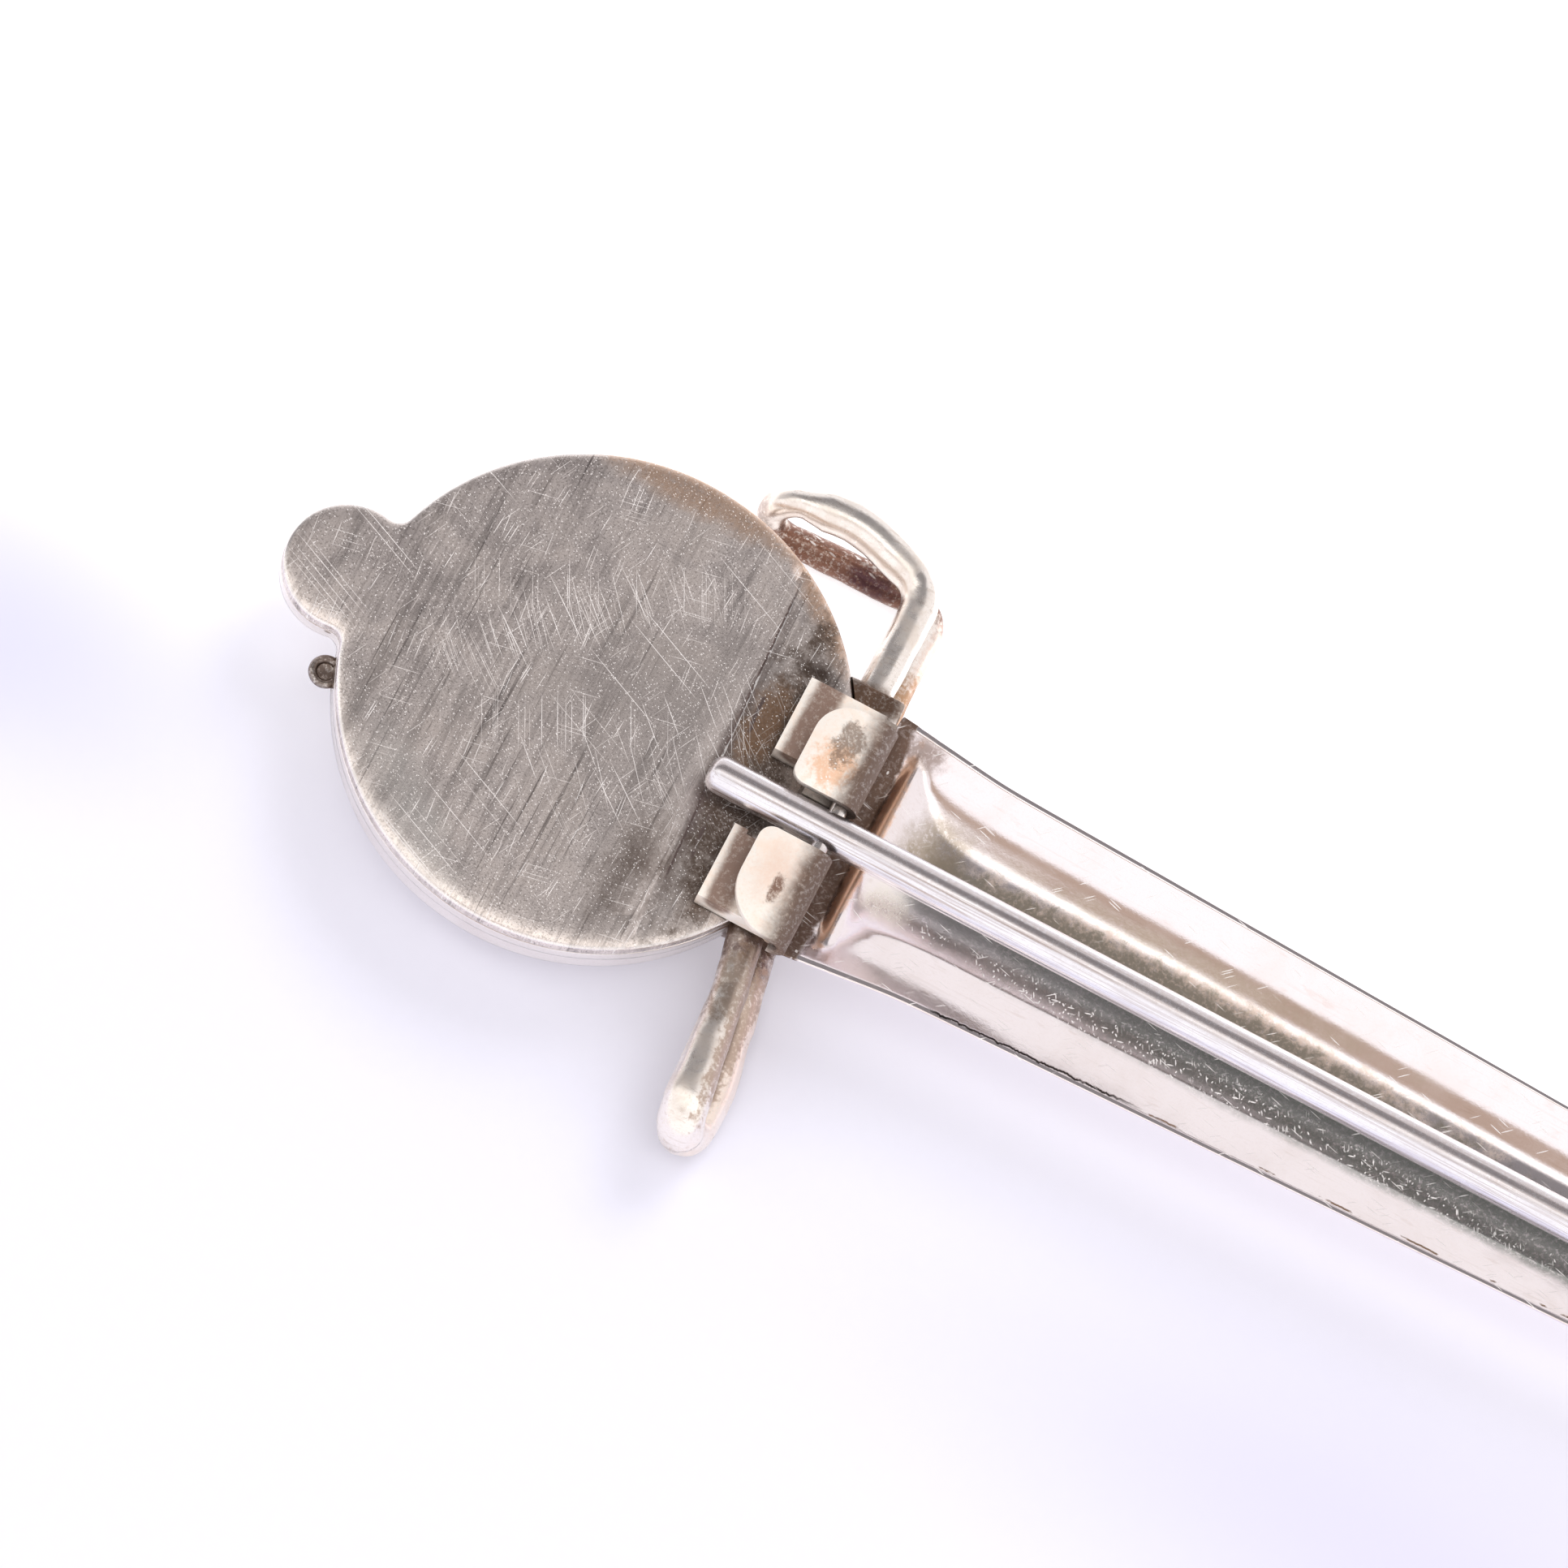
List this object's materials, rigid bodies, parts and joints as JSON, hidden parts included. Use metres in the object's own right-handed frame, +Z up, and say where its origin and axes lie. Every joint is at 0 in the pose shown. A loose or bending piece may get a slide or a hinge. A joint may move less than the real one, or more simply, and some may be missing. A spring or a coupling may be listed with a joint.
{
  "type": "sword-shaped kilt pin",
  "caption": "Silver kilt pin shaped like a basket-hilted sword, back upwards, with a hinged stem that closes in an open hook on the back of the blade.",
  "frame": {"origin": "under the middle of the whole pin, on the surface that it lies on", "axes": "+X along the blade to its tip, +Y across towards the bent guard loop, +Z up out of the back of the pin"},
  "size_m": [0.0866, 0.023, 0.0055],
  "materials": {
    "cast_silver": "polished cast silver, dark brown tarnish where the loops leave the guard",
    "plate_silver": "brushed and scratched flat silver, fire-stained next to the hinge",
    "blade_silver": "polished trough walls, its dull base scratched",
    "bracket_silver": "warm-tarnished strip with small pits and bright edges",
    "stem_silver": "drawn wire, brushed lengthwise",
    "fitting_silver": "plain polished silver"
  },
  "bodies": {
    "pin_body": {"hilt_basket": "cast_silver", "hilt_back_plate": "plate_silver", "blade": "blade_silver", "hinge_bracket": "bracket_silver", "hinge_rivet": "fitting_silver", "catch": "fitting_silver"},
    "stem": {"stem": "stem_silver"}
  },
  "joints": [
    {"name": "stem_hinge", "type": "hinge", "parent": "pin_body", "child": "stem", "pos_m": [-0.02285, -0.00014, 0.0048], "axis": [0, -1, 0], "range_deg": [0, 7.5]}
  ]
}
